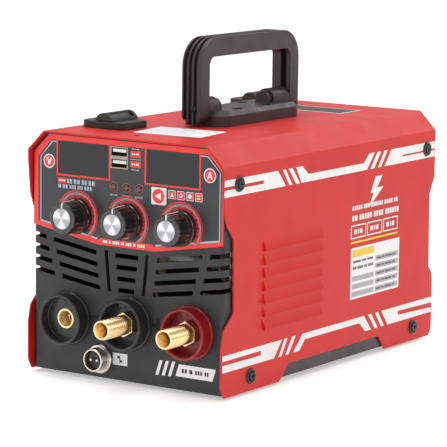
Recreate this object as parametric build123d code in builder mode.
from build123d import *
from math import radians, tan
import os

os.makedirs("parts", exist_ok=True)

# Driving dimensions, millimetres. X is width, Y runs from front to rear, Z is height.
LENGTH = 280.0          # case, front edge to rear edge
WIDTH = 163.0           # case, over both side walls
SHOULDER = 13.5         # width and height of the sloped shoulders
TOP_Z = 170.0           # top sheet
SKIRT_Z = 2.0           # lower edge of the side walls
SHEET = 1.2             # steel sheet
FRONT_REACH = 26.6      # brass adapters in front of the case edge
REAR_REACH = 15.0       # gas inlet behind the case edge
SEAM_X = -42.8          # joint between the fixed cover and the door
FIT = 0.3               # gap between pieces that move past each other
RUN = 0.08              # radial clearance of a running fit

FRONT = (FRONT_REACH - REAR_REACH - LENGTH) / 2
REAR = FRONT + LENGTH
SIDE = WIDTH / 2
BEND = tan(radians(22.5))

# Front moulding
FACE = FRONT + 4.5      # outer face of the moulding
WALL = 2.5              # wall of the moulding
KNOB_X = (-41.5, 1.1, 45.2)
KNOB_Z = 113.1
DISPLAY_X = (-36.6, 37.8)
DISPLAY_Z = 152.0
SOCKETS = ((-49.0, 41.2), (2.2, 43.3), (53.4, 43.3))
SOCKET_R = 17.5
TRIGGER_X = -21.5
TRIGGER_Z = 16.2
USB_X = -6.3
USB_Z = 156.0
BUTTON_X = 27.2
BUTTON_Z = 133.0
LED_Z = 136.1

# Door hinge along the lower left edge
HINGE_X = -80.2
HINGE_Z = 3.0
KNUCKLE_R = 1.9
HINGE_PIN_R = 0.9
HINGE_Y = (FRONT + 44.0, FRONT + 232.0)

# Carrying handle
HANDLE_Y = FRONT + 143.0
HANDLE_SPAN = 126.0
HANDLE_LEG = 11.6
HANDLE_W = 16.0
HANDLE_LEFT = -8.8       # left face of the grip
HANDLE_TOP = 232.0
PIVOT_Z = 183.2
FOOT_Z = 179.4           # centre of the round leg ends
HANDLE_PIN_R = 2.5

# Slide latches on the door's top lip
LATCH_Y = (FRONT + 49.0, FRONT + 231.0)
LATCH_W = 38.6          # across the seam
LATCH_L = 31.0          # along the seam
LATCH_H = 5.2           # plate of the latch
LATCH_TOP = 11.0        # top of the thumb slide
LATCH_X = -43.2
STEM_L = 14.0

# Rear panel
BACK = FRONT + 273.0    # outer face of the rear panel
FAN_X = 32.0
FAN_Z = 92.0
SWITCH_X = -45.0
SWITCH_Z = 132.0
GLAND_Z = 30.0
INLET_Z = 86.0

# Inside
DIVIDER_X = -18.0
SPOOL_Y = FRONT + 190.0
SPOOL_Z = 84.0
HUB_R = 8.2
FEED_Y = FRONT + 82.0
FEED_Z = 78.0
ROLL_R = 15.0
PRESSURE_R = 11.0
WIRE = 0.9

SCREW_SIDE = ((FRONT + 18.5, 144.4), (FRONT + 271.0 - 4.0, 143.5), (FRONT + 35.0, 12.2),
              (FRONT + 252.0, 12.2))
SCREW_HANDLE = ((-10.5, HANDLE_Y - 22.0), (10.5, HANDLE_Y - 22.0),
                (-10.5, HANDLE_Y + 16.0), (10.5, HANDLE_Y + 16.0))
SCREW_REAR = ((-72.0, 20.0), (72.0, 20.0), (-66.0, 152.0), (66.0, 152.0))


def facing_front(y):
    """Plane across the machine at y. Its extrusions run towards the front."""
    return Plane.XZ.offset(-y)


def facing_rear(y):
    """Plane across the machine at y. Its extrusions run towards the rear."""
    return Plane(origin=(0, y, 0), x_dir=(-1, 0, 0), z_dir=(0, 1, 0))


def facing_right(x):
    """Plane along the machine at x. Its sketch axes are Y and Z."""
    return Plane.YZ.offset(x)


def save(piece, name):
    """Label a finished piece and write it as one STEP file."""
    piece.part.label = name
    export_step(piece.part, f"parts/{name}.step")


def case_points(inset, lower_z):
    """Corners of the case section, inset from the outer skin."""
    side = SIDE - inset
    shoulder_z = TOP_Z - SHOULDER - inset * BEND
    top_x = SIDE - SHOULDER - inset * BEND
    top_z = TOP_Z - inset
    return [(-side, lower_z), (-side, shoulder_z), (-top_x, top_z),
            (top_x, top_z), (side, shoulder_z), (side, lower_z)]


def half_shell_points(hand, seam):
    """Sheet section from one skirt over its shoulder to the seam. hand is 1 right, -1 left."""
    outer = case_points(0, SKIRT_Z)[3:][::-1]
    inner = case_points(SHEET, SKIRT_Z)[3:][::-1]
    outline = [(hand * x, z) for x, z in outer] + [(seam, TOP_Z), (seam, TOP_Z - SHEET)]
    return outline + [(hand * x, z) for x, z in inner[::-1]]


FRONT_NOTCH = [(FRONT - 1, 156), (FRONT, 150), (FRONT + 2.4, 126), (FRONT + 5.6, 117),
               (FRONT + 13, 107.5), (FRONT + 14, 58.5), (FRONT + 2.5, 47.5), (FRONT, 36),
               (FRONT - 1, 36)]
FRONT_TOE = [(FRONT - 1, 1), (FRONT - 1, 9), (FRONT, 9), (FRONT + 4, SKIRT_Z), (FRONT + 4, 1)]
BELLY = [(FRONT + 71, 1), (FRONT + 71, SKIRT_Z), (FRONT + 82.5, 13), (FRONT + 202.5, 13),
         (FRONT + 212, SKIRT_Z), (FRONT + 212, 1)]
REAR_TOE = [(REAR + 1, 1), (REAR + 1, 7.5), (REAR, 7.5), (REAR - 3.5, SKIRT_Z), (REAR - 3.5, 1)]
REAR_NOTCH = [(REAR + 1, 44), (REAR, 44.5), (REAR - 1.4, 49.7), (REAR - 5.7, 54.8),
              (REAR - 6.8, 109), (REAR - 2.5, 117.5), (REAR, 122), (REAR + 1, 122)]
LOUVRE_Y = FRONT + 85.5
LOUVRE_LENGTH = 73.0
LOUVRE_PITCH = 9.0
LOUVRE_DEPTH = 2.4
LOUVRE_RISE = 7.8


def trim_side_wall(hand):
    """Cut the shaped front, belly and rear outline out of one side wall."""
    with BuildSketch(facing_right(hand * (SIDE + 3))) as cut_away:
        for outline in (FRONT_NOTCH, FRONT_TOE, BELLY, REAR_TOE, REAR_NOTCH):
            with BuildLine():
                Polyline(*outline, close=True)
            make_face()
    extrude(cut_away.sketch, amount=-hand * 6, mode=Mode.SUBTRACT)


def press_louvres(hand):
    """Seven hooded slots, open downwards, pressed out of one side wall."""
    face = hand * SIDE
    tip = hand * (SIDE + LOUVRE_DEPTH)
    inner = hand * (SIDE + LOUVRE_DEPTH - 0.9)
    back = hand * (SIDE - SHEET - 0.5)
    for row in range(7):
        z = 41.5 + row * LOUVRE_PITCH
        with BuildSketch(facing_front(LOUVRE_Y + LOUVRE_LENGTH / 2)) as hood:
            with BuildLine():
                Polyline((hand * (SIDE - 0.4), z), (tip, z), (tip, z + 0.8),
                         (face, z + LOUVRE_RISE), (hand * (SIDE - 0.4), z + LOUVRE_RISE), close=True)
            make_face()
        extrude(hood.sketch, amount=LOUVRE_LENGTH)
        with BuildSketch(facing_front(LOUVRE_Y + LOUVRE_LENGTH / 2 - 1)) as mouth:
            with BuildLine():
                Polyline((back, z - 0.5), (inner, z - 0.5), (inner, z + 0.6), (back, z + 5.4),
                         close=True)
            make_face()
        extrude(mouth.sketch, amount=LOUVRE_LENGTH - 2, mode=Mode.SUBTRACT)


# ---- Case -------------------------------------------------------------------------------

# Fixed cover: top and right wall bent from one sheet.
with BuildPart() as outer_cover:
    with BuildSketch(facing_front(REAR)) as section:
        with BuildLine():
            Polyline(*half_shell_points(1, SEAM_X + FIT / 2), close=True)
        make_face()
        corners = section.vertices().filter_by_position(Axis.Z, 150, TOP_Z + 1)
        fillet([v for v in corners if v.X > 60], 4.0)
    extrude(amount=LENGTH)
    trim_side_wall(1)
    press_louvres(1)
    with BuildSketch(facing_right(SIDE + 1)):
        with Locations(*SCREW_SIDE):
            Circle(2.2)
    extrude(amount=-4, mode=Mode.SUBTRACT)
    with BuildSketch(Plane.XY.offset(TOP_Z + 1)):
        with Locations(*SCREW_HANDLE):
            Circle(2.2)
    extrude(amount=-4, mode=Mode.SUBTRACT)
save(outer_cover, "outer_cover")

# Side door: left wall, shoulder and top lip, with two rolled knuckles on its lower edge.
with BuildPart() as door:
    with BuildSketch(facing_front(REAR)) as section:
        with BuildLine():
            Polyline(*half_shell_points(-1, SEAM_X - FIT / 2), close=True)
        make_face()
        corners = section.vertices().filter_by_position(Axis.Z, 150, TOP_Z + 1)
        fillet([v for v in corners if v.X < -60], 4.0)
    extrude(amount=LENGTH)
    trim_side_wall(-1)
    press_louvres(-1)
    for y in LATCH_Y:
        with BuildSketch(Plane.XY.offset(TOP_Z + 1)):
            with Locations((-49.6, y)):
                Rectangle(10.8, STEM_L + 1)
        extrude(amount=-3, mode=Mode.SUBTRACT)
    for y in HINGE_Y:
        with BuildSketch(facing_front(y + 16.3)):
            with Locations((-SIDE + 0.6, 3.0)):
                Rectangle(6, 6)
        extrude(amount=32.6, mode=Mode.SUBTRACT)
        with BuildSketch(facing_front(y + 7.85)):
            with Locations((HINGE_X, HINGE_Z)):
                Circle(KNUCKLE_R)
            with Locations((-SIDE + SHEET / 2, 5.2)):
                Rectangle(SHEET, 3.6)
        extrude(amount=15.7)
        with BuildSketch(facing_front(y + 10)):
            with Locations((HINGE_X, HINGE_Z)):
                Circle(HINGE_PIN_R + RUN)
        extrude(amount=20, mode=Mode.SUBTRACT)
save(door, "door")

# Fixed halves of the two door hinges, riveted to the tray.
with BuildPart() as hinge_brackets:
    for y in HINGE_Y:
        for end in (-1, 1):
            centre = y + end * 12.1
            with BuildSketch(facing_front(centre + 3.95)):
                with Locations((HINGE_X, HINGE_Z)):
                    Circle(KNUCKLE_R)
                with Locations((-78.3, 2.3)):
                    Rectangle(3.8, 1.2)
                with Locations((-77.0, 12.2)):
                    Rectangle(1.2, 21.0)
            extrude(amount=7.9)
            with BuildSketch(facing_front(centre + 5)):
                with Locations((HINGE_X, HINGE_Z)):
                    Circle(HINGE_PIN_R)
            extrude(amount=10, mode=Mode.SUBTRACT)
save(hinge_brackets, "hinge_brackets")

with BuildPart() as hinge_pins:
    for y in HINGE_Y:
        with BuildSketch(facing_front(y + 16.0)):
            with Locations((HINGE_X, HINGE_Z)):
                Circle(HINGE_PIN_R)
        extrude(amount=32.0)
save(hinge_pins, "hinge_pins")

# Base tray with turned-up flanges on both sides.
with BuildPart() as base_tray:
    with BuildSketch(facing_front(FRONT + 262)):
        with BuildLine():
            Polyline((-76.4, 4), (80.0, 4), (80.0, 24), (78.8, 24), (78.8, 5.2), (-75.2, 5.2),
                     (-75.2, 24), (-76.4, 24), close=True)
        make_face()
    extrude(amount=235)
    with BuildSketch(Plane.XY.offset(4)):
        with Locations((0, FRONT + 17.5)):
            Rectangle(150, 19)
        with Locations((0, FRONT + 266)):
            Rectangle(150, 8)
    extrude(amount=SHEET)
    with BuildSketch(Plane.XY.offset(3)):
        with GridLocations(8, 14, 7, 3):
            SlotOverall(5.5, 2.5)
    extrude(amount=4, mode=Mode.SUBTRACT)
    with BuildSketch(facing_right(82)):
        with Locations(SCREW_SIDE[2], SCREW_SIDE[3]):
            Circle(2.2)
    extrude(amount=-5, mode=Mode.SUBTRACT)
save(base_tray, "base_tray")

# Four rubber feet.
with BuildPart() as rubber_feet:
    for x in (-60, 60):
        for y in (FRONT + 30, FRONT + 250):
            with BuildSketch(Plane.XY.offset(4)):
                with Locations((x, y)):
                    Circle(8)
            extrude(amount=-4, taper=12)
save(rubber_feet, "rubber_feet")

# Cup washers under the four side screws.
with BuildPart() as cup_washers:
    with BuildSketch(facing_right(SIDE)):
        with Locations(*SCREW_SIDE):
            Circle(5.6)
    extrude(amount=1.6, taper=30)
    with BuildSketch(facing_right(SIDE + 1.6)):
        with Locations(*SCREW_SIDE):
            Circle(3.75)
    extrude(amount=-1.1, mode=Mode.SUBTRACT)
    with BuildSketch(facing_right(SIDE + 1.6)):
        with Locations(*SCREW_SIDE):
            Circle(2.2)
    extrude(amount=-3, mode=Mode.SUBTRACT)
save(cup_washers, "cup_washers")


def pan_screws(plane, places):
    """M4 pan head screws with a cross recess. The plane is the seat under the heads."""
    with BuildSketch(plane) as head:
        with Locations(*places):
            Circle(3.5)
    extrude(head.sketch, amount=1.7, taper=12)
    with BuildSketch(plane) as shank:
        with Locations(*places):
            Circle(1.9)
    extrude(shank.sketch, amount=-7)
    with BuildSketch(plane.offset(2)) as recess:
        with Locations(*places):
            Rectangle(3.6, 0.8)
            Rectangle(0.8, 3.6)
    extrude(recess.sketch, amount=-1.3, mode=Mode.SUBTRACT)


# Twelve like screws: four in the cover, four in the handle base, four in the rear panel.
with BuildPart() as case_screws:
    pan_screws(facing_right(SIDE + 0.5), SCREW_SIDE)
    pan_screws(Plane.XY.offset(TOP_Z + 4.4), SCREW_HANDLE)
    pan_screws(facing_rear(BACK), [(-x, z) for x, z in SCREW_REAR])
save(case_screws, "case_screws")

# ---- Handle -----------------------------------------------------------------------------

LEG_GAP = HANDLE_SPAN - 2 * HANDLE_LEG
BASE_H = 10.6
BASE_EDGE = 3.0          # bevel round the top of the base
BARREL_R = 7.0
PIN_DEPTH = 10.0
CROWN = 13.4             # height of the grip bar
with BuildPart() as handle_base:
    with BuildSketch(Plane.XY.offset(TOP_Z)) as plate:
        with Locations((0, HANDLE_Y)):
            RectangleRounded(37, LEG_GAP - 2 * FIT, 10)
    extrude(plate.sketch, amount=BASE_H - BASE_EDGE)
    extrude(plate.sketch.moved(Location((0, 0, BASE_H - BASE_EDGE))), amount=BASE_EDGE, taper=45)
    for end, length in ((-1, 12), (1, 21)):
        outer = HANDLE_Y + end * (LEG_GAP / 2 - FIT)
        inner = outer - end * length
        with BuildSketch(facing_front(max(inner, outer))) as barrel:
            with Locations((0, PIVOT_Z)):
                Circle(BARREL_R)
            with Locations((0, (TOP_Z + PIVOT_Z) / 2)):
                Rectangle(2 * BARREL_R, PIVOT_Z - TOP_Z)
        extrude(barrel.sketch, amount=length)
        with BuildSketch(facing_front(max(inner, inner - end * 5))) as nose:
            with Locations((0, PIVOT_Z)):
                Circle(BARREL_R - 1.6)
            with Locations((0, (TOP_Z + PIVOT_Z) / 2)):
                Rectangle(2 * BARREL_R - 3.2, PIVOT_Z - TOP_Z)
        extrude(nose.sketch, amount=5)
        with BuildSketch(facing_front(max(outer, outer - end * PIN_DEPTH))) as pin_hole:
            with Locations((0, PIVOT_Z)):
                Circle(HANDLE_PIN_R)
        extrude(pin_hole.sketch, amount=PIN_DEPTH, mode=Mode.SUBTRACT)
    with BuildSketch(Plane.XY.offset(TOP_Z + BASE_H)) as head_slots:
        with Locations(*SCREW_HANDLE):
            SlotOverall(9.0, 7.6, rotation=90)
    extrude(head_slots.sketch, amount=4.4 - BASE_H, mode=Mode.SUBTRACT)
    with BuildSketch(Plane.XY.offset(TOP_Z + 8)) as shank_holes:
        with Locations(*SCREW_HANDLE):
            Circle(2.2)
    extrude(shank_holes.sketch, amount=-9, mode=Mode.SUBTRACT)
save(handle_base, "handle_base")

with BuildPart() as handle_grip:
    with BuildSketch(facing_right(HANDLE_LEFT)) as outline:
        with Locations((HANDLE_Y, (FOOT_Z + HANDLE_TOP) / 2)):
            Rectangle(HANDLE_SPAN, HANDLE_TOP - FOOT_Z)
        fillet(outline.vertices().group_by(Axis.Z)[-1], 20)
    extrude(amount=HANDLE_W)
    with BuildSketch(facing_right(HANDLE_LEFT)) as opening:
        with Locations((HANDLE_Y, (FOOT_Z - 20 + HANDLE_TOP - CROWN) / 2)):
            Rectangle(LEG_GAP, HANDLE_TOP - CROWN - FOOT_Z + 20)
        fillet(opening.vertices().group_by(Axis.Z)[-1], 6)
    extrude(amount=HANDLE_W, mode=Mode.SUBTRACT)
    for end in (-1, 1):
        near = HANDLE_Y + end * (LEG_GAP + HANDLE_LEG) / 2
        with BuildSketch(facing_front(near + HANDLE_LEG / 2)) as foot:
            with Locations((HANDLE_LEFT + HANDLE_W / 2, FOOT_Z)):
                Circle(HANDLE_W / 2)
        extrude(foot.sketch, amount=HANDLE_LEG)
        with BuildSketch(facing_front(near + HANDLE_LEG / 2 + 1)) as pivot_hole:
            with Locations((0, PIVOT_Z)):
                Circle(HANDLE_PIN_R + RUN)
        extrude(pivot_hole.sketch, amount=HANDLE_LEG + 2, mode=Mode.SUBTRACT)
save(handle_grip, "handle_grip")

with BuildPart() as handle_pins:
    for end in (-1, 1):
        tip = HANDLE_Y + end * (HANDLE_SPAN / 2 - 1)
        root = HANDLE_Y + end * (LEG_GAP / 2 - FIT - PIN_DEPTH)
        with BuildSketch(facing_front(max(tip, root))) as pin:
            with Locations((0, PIVOT_Z)):
                Circle(HANDLE_PIN_R)
        extrude(pin.sketch, amount=abs(tip - root))
save(handle_pins, "handle_pins")

# ---- Slide latches ----------------------------------------------------------------------

for name, y in zip(("front", "rear"), LATCH_Y):
    with BuildPart() as latch_base:
        with BuildSketch(Plane.XY.offset(TOP_Z)):
            with Locations((LATCH_X, y)):
                RectangleRounded(LATCH_W, LATCH_L, 7)
        extrude(amount=LATCH_H)
        fillet(latch_base.edges().group_by(Axis.Z)[-1], 1.0)
        with BuildSketch(Plane.XY.offset(TOP_Z - 1)):
            with Locations((-49.5, y)):
                Rectangle(10.4, STEM_L + 0.8)
        extrude(amount=LATCH_H + 2, mode=Mode.SUBTRACT)
        with BuildSketch(Plane.XY.offset(TOP_Z - 1)):
            with Locations((SEAM_X + 13.0, y)):
                Rectangle(26.6, LATCH_L + 2)
        extrude(amount=1 + FIT, mode=Mode.SUBTRACT)
    save(latch_base, f"latch_base_{name}")

    with BuildPart() as latch_slider:
        with BuildSketch(facing_front(y + LATCH_L / 2 - 0.4)):
            with BuildLine():
                Line((-34.2, TOP_Z + LATCH_H + FIT), (-49.2, TOP_Z + LATCH_H + FIT))
                ThreePointArc((-49.2, TOP_Z + LATCH_H + FIT), (-45.6, TOP_Z + 10.1),
                              (-42.0, TOP_Z + LATCH_TOP))
                ThreePointArc((-42.0, TOP_Z + LATCH_TOP), (-37.4, TOP_Z + 9.4),
                              (-34.2, TOP_Z + LATCH_H + FIT))
            make_face()
        extrude(amount=LATCH_L - 0.8)
        with BuildSketch(facing_front(y + LATCH_L / 2 - 3.4)):
            with Locations((-35.4, TOP_Z + LATCH_TOP + 1.4)):
                Circle(5.2)
        extrude(amount=LATCH_L - 6.8, mode=Mode.SUBTRACT)
        with BuildSketch(facing_front(y + STEM_L / 2)):
            with BuildLine():
                Polyline((-49.0, TOP_Z + 7), (-49.0, TOP_Z - 4), (-43.4, TOP_Z - 4),
                         (-43.4, TOP_Z - 1.7), (-45.0, TOP_Z - 1.7), (-45.0, TOP_Z + 7), close=True)
            make_face()
        extrude(amount=STEM_L)
    save(latch_slider, f"latch_slider_{name}")

# ---- Front ------------------------------------------------------------------------------

VENT_PITCH = 7.9
VENT_SLOPE = 0.153


def vent_z(x, row):
    """Height of the middle of a vent row at x: level in the middle, rising to both sides."""
    return 89.0 - row * VENT_PITCH + VENT_SLOPE * max(0.0, abs(x) - 24.0)


def vent(x0, x1, row):
    """One slot between x0 and x1."""
    half = 1.6
    with BuildLine() as edge:
        Polyline((x0, vent_z(x0, row) - half), (x1, vent_z(x1, row) - half),
                 (x1, vent_z(x1, row) + half), (x0, vent_z(x0, row) + half), close=True)
    make_face(edge.line)


PANEL_INSET = 1.9
PANEL_SIDE = SIDE - PANEL_INSET

# Moulded front, with the vents, the socket holes and the cut-outs of the control field.
with BuildPart() as front_panel:
    with BuildSketch(facing_front(FACE + 22)):
        with BuildLine():
            Polyline(*case_points(PANEL_INSET, 3.0), close=True)
        make_face()
    extrude(amount=22)
    with BuildSketch(Plane.XY.offset(2)) as lower_corners:
        for hand in (-1, 1):
            with Locations((hand * (PANEL_SIDE - 1), FACE + 1)):
                Rectangle(4, 4)
            with Locations((hand * (PANEL_SIDE - 3), FACE + 3)):
                Circle(3, mode=Mode.SUBTRACT)
    extrude(lower_corners.sketch, amount=101.8, mode=Mode.SUBTRACT)
    with BuildSketch(facing_front(FACE + 23)):
        with BuildLine():
            Polyline(*case_points(PANEL_INSET + WALL, 2.0), close=True)
        make_face()
    extrude(amount=23 - WALL, mode=Mode.SUBTRACT)
    with BuildSketch(facing_front(FACE + WALL + 1)):
        for row in range(4):
            vent(-9.7 + row, 9.7 - row, row)
            for hand in (-1, 1):
                ends = sorted((hand * (25.4 - 1.05 * row), hand * (62.3 - 2.5 * row)))
                vent(ends[0], ends[1], row)
        for hand in (-1, 1):
            with BuildLine():
                Polyline((hand * 15.8, 91.8), (hand * 18.6, 91.8), (hand * 15.6, 63.4),
                         (hand * 13.0, 63.4), close=True)
            make_face()
    extrude(amount=WALL + 2, mode=Mode.SUBTRACT)
    with BuildSketch(facing_front(FACE + 12)):
        for row in range(4):
            for hand in (-1, 1):
                ends = sorted((hand * (68.3 - 2.5 * row), hand * 84))
                vent(ends[0], ends[1], row)
    extrude(amount=14, mode=Mode.SUBTRACT)
    with BuildSketch(facing_front(FACE + WALL + 1)):
        with Locations(*[(x, DISPLAY_Z) for x in DISPLAY_X]):
            Rectangle(43.4, 22.4)
        with Locations((USB_X, USB_Z)):
            Rectangle(14.9, 15.3)
        with Locations((-10.5, LED_Z), (0, LED_Z), (10.5, LED_Z)):
            Circle(2.6)
        with Locations((BUTTON_X, BUTTON_Z)):
            Rectangle(12.8, 12.4)
        with Locations(*[(x, KNOB_Z) for x in KNOB_X]):
            Circle(4.2)
        with Locations(*SOCKETS):
            Circle(11.2)
        with Locations((TRIGGER_X, TRIGGER_Z)):
            Circle(8.2)
    extrude(amount=WALL + 2, mode=Mode.SUBTRACT)
    with BuildSketch(facing_right(SIDE)):
        with Locations(SCREW_SIDE[0]):
            Circle(2.2)
    extrude(amount=-6, mode=Mode.SUBTRACT)
save(front_panel, "front_panel")

# Printed control overlay, laid on the moulding.
OVERLAY_POINTS = [(-79.0, 104.2), (-24, 95), (24, 95), (79.0, 104.2), (79.0, 154.6), (65.9, 167.6),
                  (-65.9, 167.6), (-79.0, 154.6)]
with BuildPart() as control_overlay:
    with BuildSketch(facing_front(FACE)):
        with BuildLine():
            Polyline(*OVERLAY_POINTS, close=True)
        make_face()
        with Locations(*[(x, DISPLAY_Z) for x in DISPLAY_X]):
            Rectangle(43.4, 22.4, mode=Mode.SUBTRACT)
        with Locations((USB_X, USB_Z)):
            Rectangle(14.9, 15.3, mode=Mode.SUBTRACT)
        with Locations((-10.5, LED_Z), (0, LED_Z), (10.5, LED_Z)):
            Circle(2.6, mode=Mode.SUBTRACT)
        with Locations((BUTTON_X, BUTTON_Z)):
            Rectangle(12.8, 12.4, mode=Mode.SUBTRACT)
        with Locations(*[(x, KNOB_Z) for x in KNOB_X]):
            Circle(4.2, mode=Mode.SUBTRACT)
    extrude(amount=0.4)
save(control_overlay, "control_overlay")

with BuildPart() as display_windows:
    with BuildSketch(facing_front(FACE + WALL)):
        with Locations(*[(x, DISPLAY_Z) for x in DISPLAY_X]):
            Rectangle(43.2, 22.2)
    extrude(amount=WALL + 0.5)
save(display_windows, "display_windows")

# Circuit board behind the controls, with its two meter modules.
BOARD_Y = FACE + 14.0
with BuildPart() as control_board:
    with BuildSketch(facing_front(BOARD_Y + 1.6)):
        with Locations((0, 130)):
            Rectangle(134, 66)
    extrude(amount=1.6)
    with BuildSketch(facing_front(BOARD_Y)):
        with Locations(*[(x, DISPLAY_Z) for x in DISPLAY_X]):
            Rectangle(41, 20)
    extrude(amount=BOARD_Y - FACE - WALL - 0.2)
save(control_board, "control_board")

# Twin stacked charging port: pressed metal shell with two tongues.
with BuildPart() as usb_port:
    with BuildSketch(facing_front(BOARD_Y - 0.1)):
        with Locations((USB_X, USB_Z)):
            Rectangle(14.6, 15.0)
    extrude(amount=BOARD_Y - 0.1 - FACE + 0.6)
    with BuildSketch(facing_front(BOARD_Y - 3)):
        with Locations((USB_X, USB_Z - 3.9), (USB_X, USB_Z + 3.9)):
            Rectangle(12.8, 5.4)
    extrude(amount=14, mode=Mode.SUBTRACT)
    with BuildSketch(facing_front(BOARD_Y - 2)):
        with Locations((USB_X, USB_Z - 2.8), (USB_X, USB_Z + 5.0)):
            Rectangle(11.0, 1.8)
    extrude(amount=10)
save(usb_port, "usb_port")

with BuildPart() as indicator_lenses:
    with BuildSketch(facing_front(FACE + 6)):
        with Locations((-10.5, LED_Z), (0, LED_Z), (10.5, LED_Z)):
            Circle(2.5)
    extrude(amount=7.2)
    fillet(indicator_lenses.edges().group_by(Axis.Y)[0], 1.2)
save(indicator_lenses, "indicator_lenses")

# Mode button, sprung outwards.
with BuildPart() as mode_button:
    with BuildSketch(facing_front(FACE + 5)):
        with Locations((BUTTON_X, BUTTON_Z)):
            RectangleRounded(12.2, 11.8, 0.8)
    extrude(amount=6.6)
save(mode_button, "mode_button")

# Three potentiometers with threaded bushes.
with BuildPart() as potentiometers:
    for x in KNOB_X:
        with BuildSketch(facing_front(BOARD_Y)):
            with Locations((x, KNOB_Z)):
                Circle(8.5)
        extrude(amount=BOARD_Y - FACE - WALL)
        with BuildSketch(facing_front(FACE + WALL)):
            with Locations((x, KNOB_Z)):
                Circle(4.1)
        extrude(amount=WALL + 1.5)
        with BuildSketch(facing_front(FACE + 7)):
            with Locations((x, KNOB_Z)):
                Circle(3.0 + RUN)
        extrude(amount=12, mode=Mode.SUBTRACT)
save(potentiometers, "potentiometers")

# Control knobs: shaft, flared skirt and fluted grip, each with a metal cap.
KNOB_FRONT = FACE - 18.4
for name, x in zip(("left", "middle", "right"), KNOB_X):
    with BuildPart() as knob:
        with BuildSketch(facing_front(FACE - 2.2)):
            with Locations((x, KNOB_Z)):
                Circle(12.6)
        extrude(amount=3)
        with BuildSketch(facing_front(FACE - 5.2)):
            with Locations((x, KNOB_Z)):
                Circle(11.6)
            with Locations((x, KNOB_Z)):
                with PolarLocations(12.0, 18):
                    Circle(0.7, mode=Mode.SUBTRACT)
        extrude(amount=FACE - 5.2 - KNOB_FRONT - 1.0, taper=2)
        with BuildSketch(facing_front(FACE + 6.5)):
            with Locations((x, KNOB_Z)):
                Circle(3.0)
        extrude(amount=9)
    save(knob, f"knob_{name}")
    with BuildPart() as knob_cap:
        with BuildSketch(facing_front(KNOB_FRONT + 1.0)):
            with Locations((x, KNOB_Z)):
                Circle(7.2)
        extrude(amount=1.0, taper=20)
    save(knob_cap, f"knob_cap_{name}")


def disc(x, z, y, radius, depth, mode=Mode.ADD):
    """Round step of a turned piece on an axis along Y: it starts at y and runs depth forwards."""
    with BuildSketch(facing_front(y)) as circle:
        with Locations((x, z)):
            Circle(radius)
    extrude(circle.sketch, amount=depth, mode=mode)


def socket_cup(x, z, floor, bore):
    """Bayonet socket housing: rimmed cup with a flange and a threaded tail."""
    disc(x, z, FACE, SOCKET_R + 1.2, 2.2)
    disc(x, z, FACE, SOCKET_R, 11.5)
    disc(x, z, FACE + 14, 11.0, 14)
    disc(x, z, FACE - floor, SOCKET_R - 2.3, 20, Mode.SUBTRACT)
    disc(x, z, FACE + 15, bore, 25, Mode.SUBTRACT)


INSERT_R = 7.2
TORCH_FLOOR = 3.6        # cup floor, and the brass insert flush with it, proud of the face
for name, (x, z) in zip(("torch", "negative", "positive"), SOCKETS):
    with BuildPart() as socket:
        if name == "torch":
            socket_cup(x, z, TORCH_FLOOR, INSERT_R + 0.1)
        else:
            socket_cup(x, z, 1.0, 6.7)
    save(socket, f"{name}_socket")

# Brass insert of the torch socket.
with BuildPart() as torch_insert:
    with BuildSketch(facing_front(FACE + 20)):
        with Locations(SOCKETS[0]):
            Circle(INSERT_R)
    extrude(amount=20 + TORCH_FLOOR)
    with BuildSketch(facing_front(FACE + 8)):
        with Locations(SOCKETS[0]):
            Circle(5.0)
    extrude(amount=14, mode=Mode.SUBTRACT)
save(torch_insert, "torch_insert")

# Brass hose adapters: hexagon and threaded tube, screwed into the other two sockets.
with BuildPart() as hose_adapters:
    for x, z in SOCKETS[1:]:
        with BuildSketch(facing_front(FACE - 1.2)):
            with Locations((x, z)):
                RegularPolygon(8.9, 6, rotation=30)
        extrude(amount=5.6)
        with BuildSketch(facing_front(FACE + 20)):
            with Locations((x, z)):
                Circle(6.6)
        extrude(amount=20 + FRONT_REACH + 4.5)
        with BuildSketch(facing_front(FACE - 8)):
            with Locations((x, z)):
                Circle(4.7)
        extrude(amount=40, mode=Mode.SUBTRACT)
save(hose_adapters, "hose_adapters")

# Two-pole trigger connector: metal shell, flange nut and moulded insert with its pins.
with BuildPart() as trigger_connector:
    with BuildSketch(facing_front(FACE)):
        with Locations((TRIGGER_X, TRIGGER_Z)):
            Circle(10.2)
    extrude(amount=2.4)
    with BuildSketch(facing_front(FACE + 12)):
        with Locations((TRIGGER_X, TRIGGER_Z)):
            Circle(8.0)
    extrude(amount=12 + 9.2)
    with BuildSketch(facing_front(FACE + 13)):
        with Locations((TRIGGER_X, TRIGGER_Z)):
            Circle(6.6)
    extrude(amount=30, mode=Mode.SUBTRACT)
save(trigger_connector, "trigger_connector")

with BuildPart() as trigger_insert:
    with BuildSketch(facing_front(FACE + 12)):
        with Locations((TRIGGER_X, TRIGGER_Z)):
            Circle(6.5)
    extrude(amount=12 + 5)
    with BuildSketch(facing_front(FACE - 5)):
        with Locations((TRIGGER_X - 2.6, TRIGGER_Z), (TRIGGER_X + 2.6, TRIGGER_Z)):
            Circle(1.0)
    extrude(amount=3)
save(trigger_insert, "trigger_insert")

# ---- Rear -------------------------------------------------------------------------------

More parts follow.
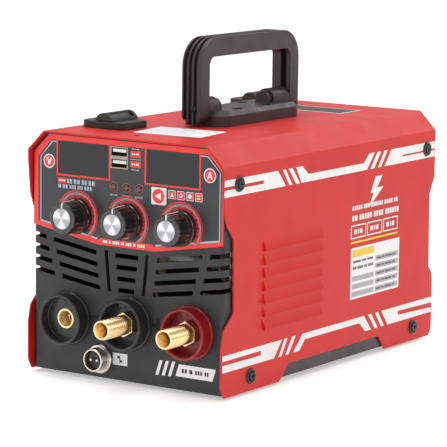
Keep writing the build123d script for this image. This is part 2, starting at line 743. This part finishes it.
RETURN = 11.0
with BuildPart() as rear_panel:
    with BuildSketch(facing_front(BACK)):
        with BuildLine():
            Polyline(*case_points(PANEL_INSET, 4.0), close=True)
        make_face()
    extrude(amount=RETURN)
    with BuildSketch(facing_front(BACK - 1.5)):
        with BuildLine():
            Polyline(*case_points(PANEL_INSET + 1.5, 5.5), close=True)
        make_face()
    extrude(amount=RETURN, mode=Mode.SUBTRACT)
    with BuildSketch(facing_front(BACK - 1.5)):
        with Locations((0, 6)):
            Rectangle(152, 6)
    extrude(amount=RETURN, mode=Mode.SUBTRACT)
    with BuildSketch(facing_front(BACK + 1)):
        with Locations((FAN_X, FAN_Z)):
            Circle(38.5)
        with Locations((SWITCH_X, SWITCH_Z)):
            Rectangle(22.2, 28.2)
        with Locations((SWITCH_X, GLAND_Z)):
            Circle(8.2)
        with Locations((SWITCH_X, INLET_Z)):
            Circle(5.2)
        with Locations((-15.0, GLAND_Z)):
            Circle(3.2)
        with Locations(*SCREW_REAR):
            Circle(2.2)
        with Locations((SWITCH_X, 60)):
            with GridLocations(0, 7, 1, 3):
                SlotOverall(30, 3)
    extrude(amount=4, mode=Mode.SUBTRACT)
    with BuildSketch(facing_right(SIDE)):
        with Locations(SCREW_SIDE[1]):
            Circle(2.2)
    extrude(amount=-6, mode=Mode.SUBTRACT)
save(rear_panel, "rear_panel")

# Wire fan guard: rings on two cross bars.
with BuildPart() as fan_guard:
    for radius in (8, 15, 22, 29, 36, 42):
        with BuildSketch(facing_front(BACK + 3.2)):
            with Locations((FAN_X, FAN_Z)):
                Circle(radius + 0.8)
                Circle(radius - 0.8, mode=Mode.SUBTRACT)
        extrude(amount=1.6)
    with BuildSketch(facing_front(BACK + 1.6)):
        with Locations((FAN_X, FAN_Z)):
            Rectangle(86, 1.8, rotation=45)
            Rectangle(86, 1.8, rotation=135)
            with PolarLocations(43.5, 4, start_angle=45):
                Circle(3.4)
    extrude(amount=1.6)
save(fan_guard, "fan_guard")

FAN_FRONT = BACK - 1.5 - 25.0
with BuildPart() as fan_frame:
    with BuildSketch(facing_front(BACK - 1.5)):
        with Locations((FAN_X, FAN_Z)):
            RectangleRounded(80, 80, 4)
            Circle(38, mode=Mode.SUBTRACT)
            with GridLocations(71.5, 71.5, 2, 2):
                Circle(2.2, mode=Mode.SUBTRACT)
    extrude(amount=25)
    with BuildSketch(facing_front(FAN_FRONT + 3)):
        with Locations((FAN_X, FAN_Z)):
            Circle(15)
            Rectangle(78, 3)
            Rectangle(3, 78)
    extrude(amount=3)
    with BuildSketch(facing_front(FAN_FRONT + 12)):
        with Locations((FAN_X, FAN_Z)):
            Circle(2.0)
    extrude(amount=9)
save(fan_frame, "fan_frame")

with BuildPart() as fan_rotor:
    with BuildSketch(facing_front(BACK - 4.5)):
        with Locations((FAN_X, FAN_Z)):
            Circle(15)
    extrude(amount=18)
    with BuildSketch(facing_front(BACK - 12.5)):
        with Locations((FAN_X, FAN_Z)):
            with PolarLocations(25.0, 7):
                Rectangle(22.5, 2.0, rotation=12)
    extrude(amount=4, both=True)
    with BuildSketch(facing_front(FAN_FRONT + 13)):
        with Locations((FAN_X, FAN_Z)):
            Circle(2.0 + RUN)
    extrude(amount=12, mode=Mode.SUBTRACT)
save(fan_rotor, "fan_rotor")

# Mains switch: housing and rocker on a cross pin.
with BuildPart() as switch_housing:
    with BuildSketch(facing_front(BACK + 1.8)):
        with Locations((SWITCH_X, SWITCH_Z)):
            Rectangle(25, 31)
    extrude(amount=1.8)
    with BuildSketch(facing_front(BACK)):
        with Locations((SWITCH_X, SWITCH_Z)):
            Rectangle(21.8, 27.8)
    extrude(amount=22)
    with BuildSketch(facing_front(BACK + 2)):
        with Locations((SWITCH_X, SWITCH_Z)):
            Rectangle(16, 24)
    extrude(amount=14, mode=Mode.SUBTRACT)
save(switch_housing, "switch_housing")

ROCKER_Y = BACK - 4.0
with BuildPart() as switch_rocker:
    with BuildSketch(facing_right(SWITCH_X - 7.6)):
        with BuildLine():
            Polyline((ROCKER_Y - 3, SWITCH_Z - 7), (ROCKER_Y + 4.5, SWITCH_Z - 10.9),
                     (ROCKER_Y + 7.0, SWITCH_Z), (ROCKER_Y + 4.5, SWITCH_Z + 10.9),
                     (ROCKER_Y - 3, SWITCH_Z + 7), close=True)
        make_face()
    extrude(amount=15.2)
save(switch_rocker, "switch_rocker")

# Mains cable gland with its dome nut. Nothing passes through it here.
with BuildPart() as cable_gland:
    with BuildSketch(facing_front(BACK + 5)):
        with Locations((SWITCH_X, GLAND_Z)):
            RegularPolygon(11.6, 6)
    extrude(amount=5)
    with BuildSketch(facing_front(BACK + 14)):
        with Locations((SWITCH_X, GLAND_Z)):
            Circle(9.0)
    extrude(amount=9)
    with BuildSketch(facing_front(BACK)):
        with Locations((SWITCH_X, GLAND_Z)):
            Circle(8.0)
    extrude(amount=10)
    with BuildSketch(facing_front(BACK + 15)):
        with Locations((SWITCH_X, GLAND_Z)):
            Circle(5.5)
    extrude(amount=30, mode=Mode.SUBTRACT)
save(cable_gland, "cable_gland")

# Gas inlet: hexagon and barbed hose tail.
with BuildPart() as gas_inlet:
    with BuildSketch(facing_front(BACK + 5)):
        with Locations((SWITCH_X, INLET_Z)):
            RegularPolygon(8.0, 6)
    extrude(amount=5)
    with BuildSketch(facing_front(BACK)):
        with Locations((SWITCH_X, INLET_Z)):
            Circle(5.0)
    extrude(amount=12)
    with BuildSketch(facing_front(REAR + REAR_REACH)):
        with Locations((SWITCH_X, INLET_Z)):
            Circle(3.4)
    extrude(amount=REAR + REAR_REACH - BACK - 5)
    for step in range(3):
        with BuildSketch(facing_rear(BACK + 8 + step * 4.4)):
            with Locations((-SWITCH_X, INLET_Z)):
                Circle(4.4)
        extrude(amount=3.0, taper=16)
    with BuildSketch(facing_front(REAR + REAR_REACH + 1)):
        with Locations((SWITCH_X, INLET_Z)):
            Circle(2.2)
    extrude(amount=60, mode=Mode.SUBTRACT)
save(gas_inlet, "gas_inlet")

# Earth stud with washer and nut.
with BuildPart() as earth_stud:
    with BuildSketch(facing_front(BACK + 11)):
        with Locations((-15.0, GLAND_Z)):
            Circle(3.0)
    extrude(amount=20)
    with BuildSketch(facing_front(BACK + 1)):
        with Locations((-15.0, GLAND_Z)):
            Circle(6.0)
    extrude(amount=1)
    with BuildSketch(facing_front(BACK + 6)):
        with Locations((-15.0, GLAND_Z)):
            RegularPolygon(5.8, 6)
    extrude(amount=5)
save(earth_stud, "earth_stud")

# ---- Wire feeder side -------------------------------------------------------------------

# Upright divider between the wire side and the power side.
with BuildPart() as divider_plate:
    with BuildSketch(facing_right(DIVIDER_X)):
        with Locations((FRONT + 148, 82)):
            Rectangle(190, 152)
        with Locations((FEED_Y, FEED_Z)):
            Circle(16.5, mode=Mode.SUBTRACT)
    extrude(amount=1.5)
    with BuildSketch(Plane.XY.offset(5.2)):
        with Locations((DIVIDER_X + 7, FRONT + 148)):
            Rectangle(14, 190)
    extrude(amount=1.2)
save(divider_plate, "divider_plate")

with BuildPart() as feeder_plate:
    with BuildSketch(facing_right(DIVIDER_X - 6)):
        with Locations((FEED_Y, FEED_Z + 6)):
            RectangleRounded(62, 56, 4)
        with Locations((FEED_Y, FEED_Z)):
            Circle(4.2, mode=Mode.SUBTRACT)
    extrude(amount=6)
    for y in (FEED_Y - 26, FEED_Y + 26):
        with BuildSketch(facing_right(DIVIDER_X - 6)):
            with Locations((y, FEED_Z + ROLL_R + WIRE / 2)):
                Rectangle(8, 12)
        extrude(amount=-14)
        with BuildSketch(facing_front(y + 5)):
            with Locations((DIVIDER_X - 14, FEED_Z + ROLL_R + WIRE / 2)):
                Circle(1.6)
        extrude(amount=10, mode=Mode.SUBTRACT)
    with BuildSketch(facing_right(DIVIDER_X - 6)):
        with Locations((FEED_Y - 26, FEED_Z + 30)):
            Circle(3.0)
    extrude(amount=-14)
save(feeder_plate, "feeder_plate")

with BuildPart() as feeder_motor:
    with BuildSketch(facing_right(DIVIDER_X)):
        with Locations((FEED_Y, FEED_Z)):
            Circle(16.0)
    extrude(amount=52)
    with BuildSketch(facing_right(DIVIDER_X)):
        with Locations((FEED_Y, FEED_Z)):
            Circle(4.0)
    extrude(amount=-19)
save(feeder_motor, "feeder_motor")

with BuildPart() as drive_roll:
    with BuildSketch(facing_right(DIVIDER_X - 8)):
        with Locations((FEED_Y, FEED_Z)):
            Circle(ROLL_R)
            Circle(4.0 + RUN, mode=Mode.SUBTRACT)
    extrude(amount=-12)
    with BuildSketch(facing_right(DIVIDER_X - 20)):
        with Locations((FEED_Y, FEED_Z)):
            Circle(8)
    extrude(amount=-3)
save(drive_roll, "drive_roll")

ARM_Y = FEED_Y - 26
ARM_Z = FEED_Z + 30
PRESSURE_Z = FEED_Z + ROLL_R + WIRE + PRESSURE_R
with BuildPart() as pressure_arm:
    with BuildSketch(facing_right(DIVIDER_X - 21)):
        with Locations(((ARM_Y + FEED_Y + 24) / 2, ARM_Z + 1)):
            SlotOverall(FEED_Y + 24 - ARM_Y + 10, 10)
    extrude(amount=-4)
    with BuildSketch(facing_right(DIVIDER_X - 8)):
        with Locations((ARM_Y, ARM_Z)):
            Circle(5.4)
    extrude(amount=-15)
    with BuildSketch(facing_right(DIVIDER_X - 5)):
        with Locations((ARM_Y, ARM_Z)):
            Circle(3.0 + RUN)
    extrude(amount=-16, mode=Mode.SUBTRACT)
    with BuildSketch(facing_right(DIVIDER_X - 10)):
        with Locations((FEED_Y, PRESSURE_Z)):
            Circle(3.0)
    extrude(amount=-13)
save(pressure_arm, "pressure_arm")

with BuildPart() as pressure_roll:
    with BuildSketch(facing_right(DIVIDER_X - 9)):
        with Locations((FEED_Y, PRESSURE_Z)):
            Circle(PRESSURE_R)
            Circle(3.0 + RUN, mode=Mode.SUBTRACT)
    extrude(amount=-10)
save(pressure_roll, "pressure_roll")

# Spool axle, spool and the wire wound on it.
with BuildPart() as spool_hub:
    with BuildSketch(facing_right(DIVIDER_X)):
        with Locations((SPOOL_Y, SPOOL_Z)):
            Circle(20)
    extrude(amount=-4)
    with BuildSketch(facing_right(DIVIDER_X)):
        with Locations((SPOOL_Y, SPOOL_Z)):
            Circle(HUB_R)
    extrude(amount=-53)
save(spool_hub, "spool_hub")

with BuildPart() as wire_spool:
    with BuildSketch(facing_right(DIVIDER_X - 5)):
        with Locations((SPOOL_Y, SPOOL_Z)):
            Circle(24)
    extrude(amount=-45)
    for x in (DIVIDER_X - 5, DIVIDER_X - 47):
        with BuildSketch(facing_right(x)):
            with Locations((SPOOL_Y, SPOOL_Z)):
                Circle(50)
        extrude(amount=-3)
    with BuildSketch(facing_right(DIVIDER_X)):
        with Locations((SPOOL_Y, SPOOL_Z)):
            Circle(HUB_R + RUN)
    extrude(amount=-60, mode=Mode.SUBTRACT)
    with BuildSketch(facing_right(DIVIDER_X)):
        with Locations((SPOOL_Y, SPOOL_Z)):
            with PolarLocations(37, 5):
                Circle(7)
    extrude(amount=-60, mode=Mode.SUBTRACT)
save(wire_spool, "wire_spool")

with BuildPart() as spool_wire:
    with BuildSketch(facing_right(DIVIDER_X - 8.1)):
        with Locations((SPOOL_Y, SPOOL_Z)):
            Circle(44)
            Circle(24.1, mode=Mode.SUBTRACT)
    extrude(amount=-38.8)
save(spool_wire, "spool_wire")

# ---- Power side -------------------------------------------------------------------------

BOARD_X = 4.0
with BuildPart() as main_board:
    with BuildSketch(facing_right(BOARD_X)):
        with Locations((FRONT + 170, 86)):
            Rectangle(136, 146)
    extrude(amount=1.6)
save(main_board, "main_board")

with BuildPart() as heat_sinks:
    for z in (62, 120):
        with BuildSketch(facing_front(FRONT + 206)):
            with Locations((BOARD_X + 20.6, z)):
                Rectangle(4, 46)
            for fin in range(8):
                with Locations((BOARD_X + 38, z - 21 + fin * 6)):
                    Rectangle(32, 2)
            with Locations((BOARD_X + 11.1, z)):
                Rectangle(15, 8)
        extrude(amount=72)
save(heat_sinks, "heat_sinks")

with BuildPart() as capacitors:
    for z in (48, 80, 112):
        with BuildSketch(facing_right(BOARD_X + 1.6)):
            with Locations((FRONT + 117, z)):
                Circle(13)
        extrude(amount=50)
        fillet(capacitors.edges().group_by(Axis.X)[-1], 1.5)
save(capacitors, "capacitors")

with BuildPart() as transformer:
    with BuildSketch(facing_right(BOARD_X + 1.6)):
        with Locations((FRONT + 222, 132)):
            Rectangle(22, 40)
    extrude(amount=42)
    with BuildSketch(facing_right(BOARD_X + 8)):
        with Locations((FRONT + 222, 132)):
            RectangleRounded(28, 30, 6)
    extrude(amount=28)
save(transformer, "transformer")

with BuildPart() as choke:
    with BuildSketch(facing_front(FRONT + 66)):
        with Locations((40, 26)):
            RectangleRounded(40, 36, 8)
            RectangleRounded(14, 12, 2, mode=Mode.SUBTRACT)
    extrude(amount=22)
save(choke, "choke")

# Tinned busbars behind the vents, from the sockets to the power board.
UPRIGHTS = ((7.0, 84.0), (70.0, 88.0))
with BuildPart() as busbars:
    for x, z in UPRIGHTS:
        with BuildSketch(facing_front(FACE + 34)):
            with Locations((x, z)):
                Rectangle(4.0, 22)
        extrude(amount=10)
    for x, z in SOCKETS[1:]:
        with BuildSketch(facing_front(FACE + 24)):
            with Locations((x, z + 6)):
                Rectangle(16, 34)
            with Locations((x, z)):
                Circle(6.7, mode=Mode.SUBTRACT)
        extrude(amount=3.0)
save(busbars, "busbars")
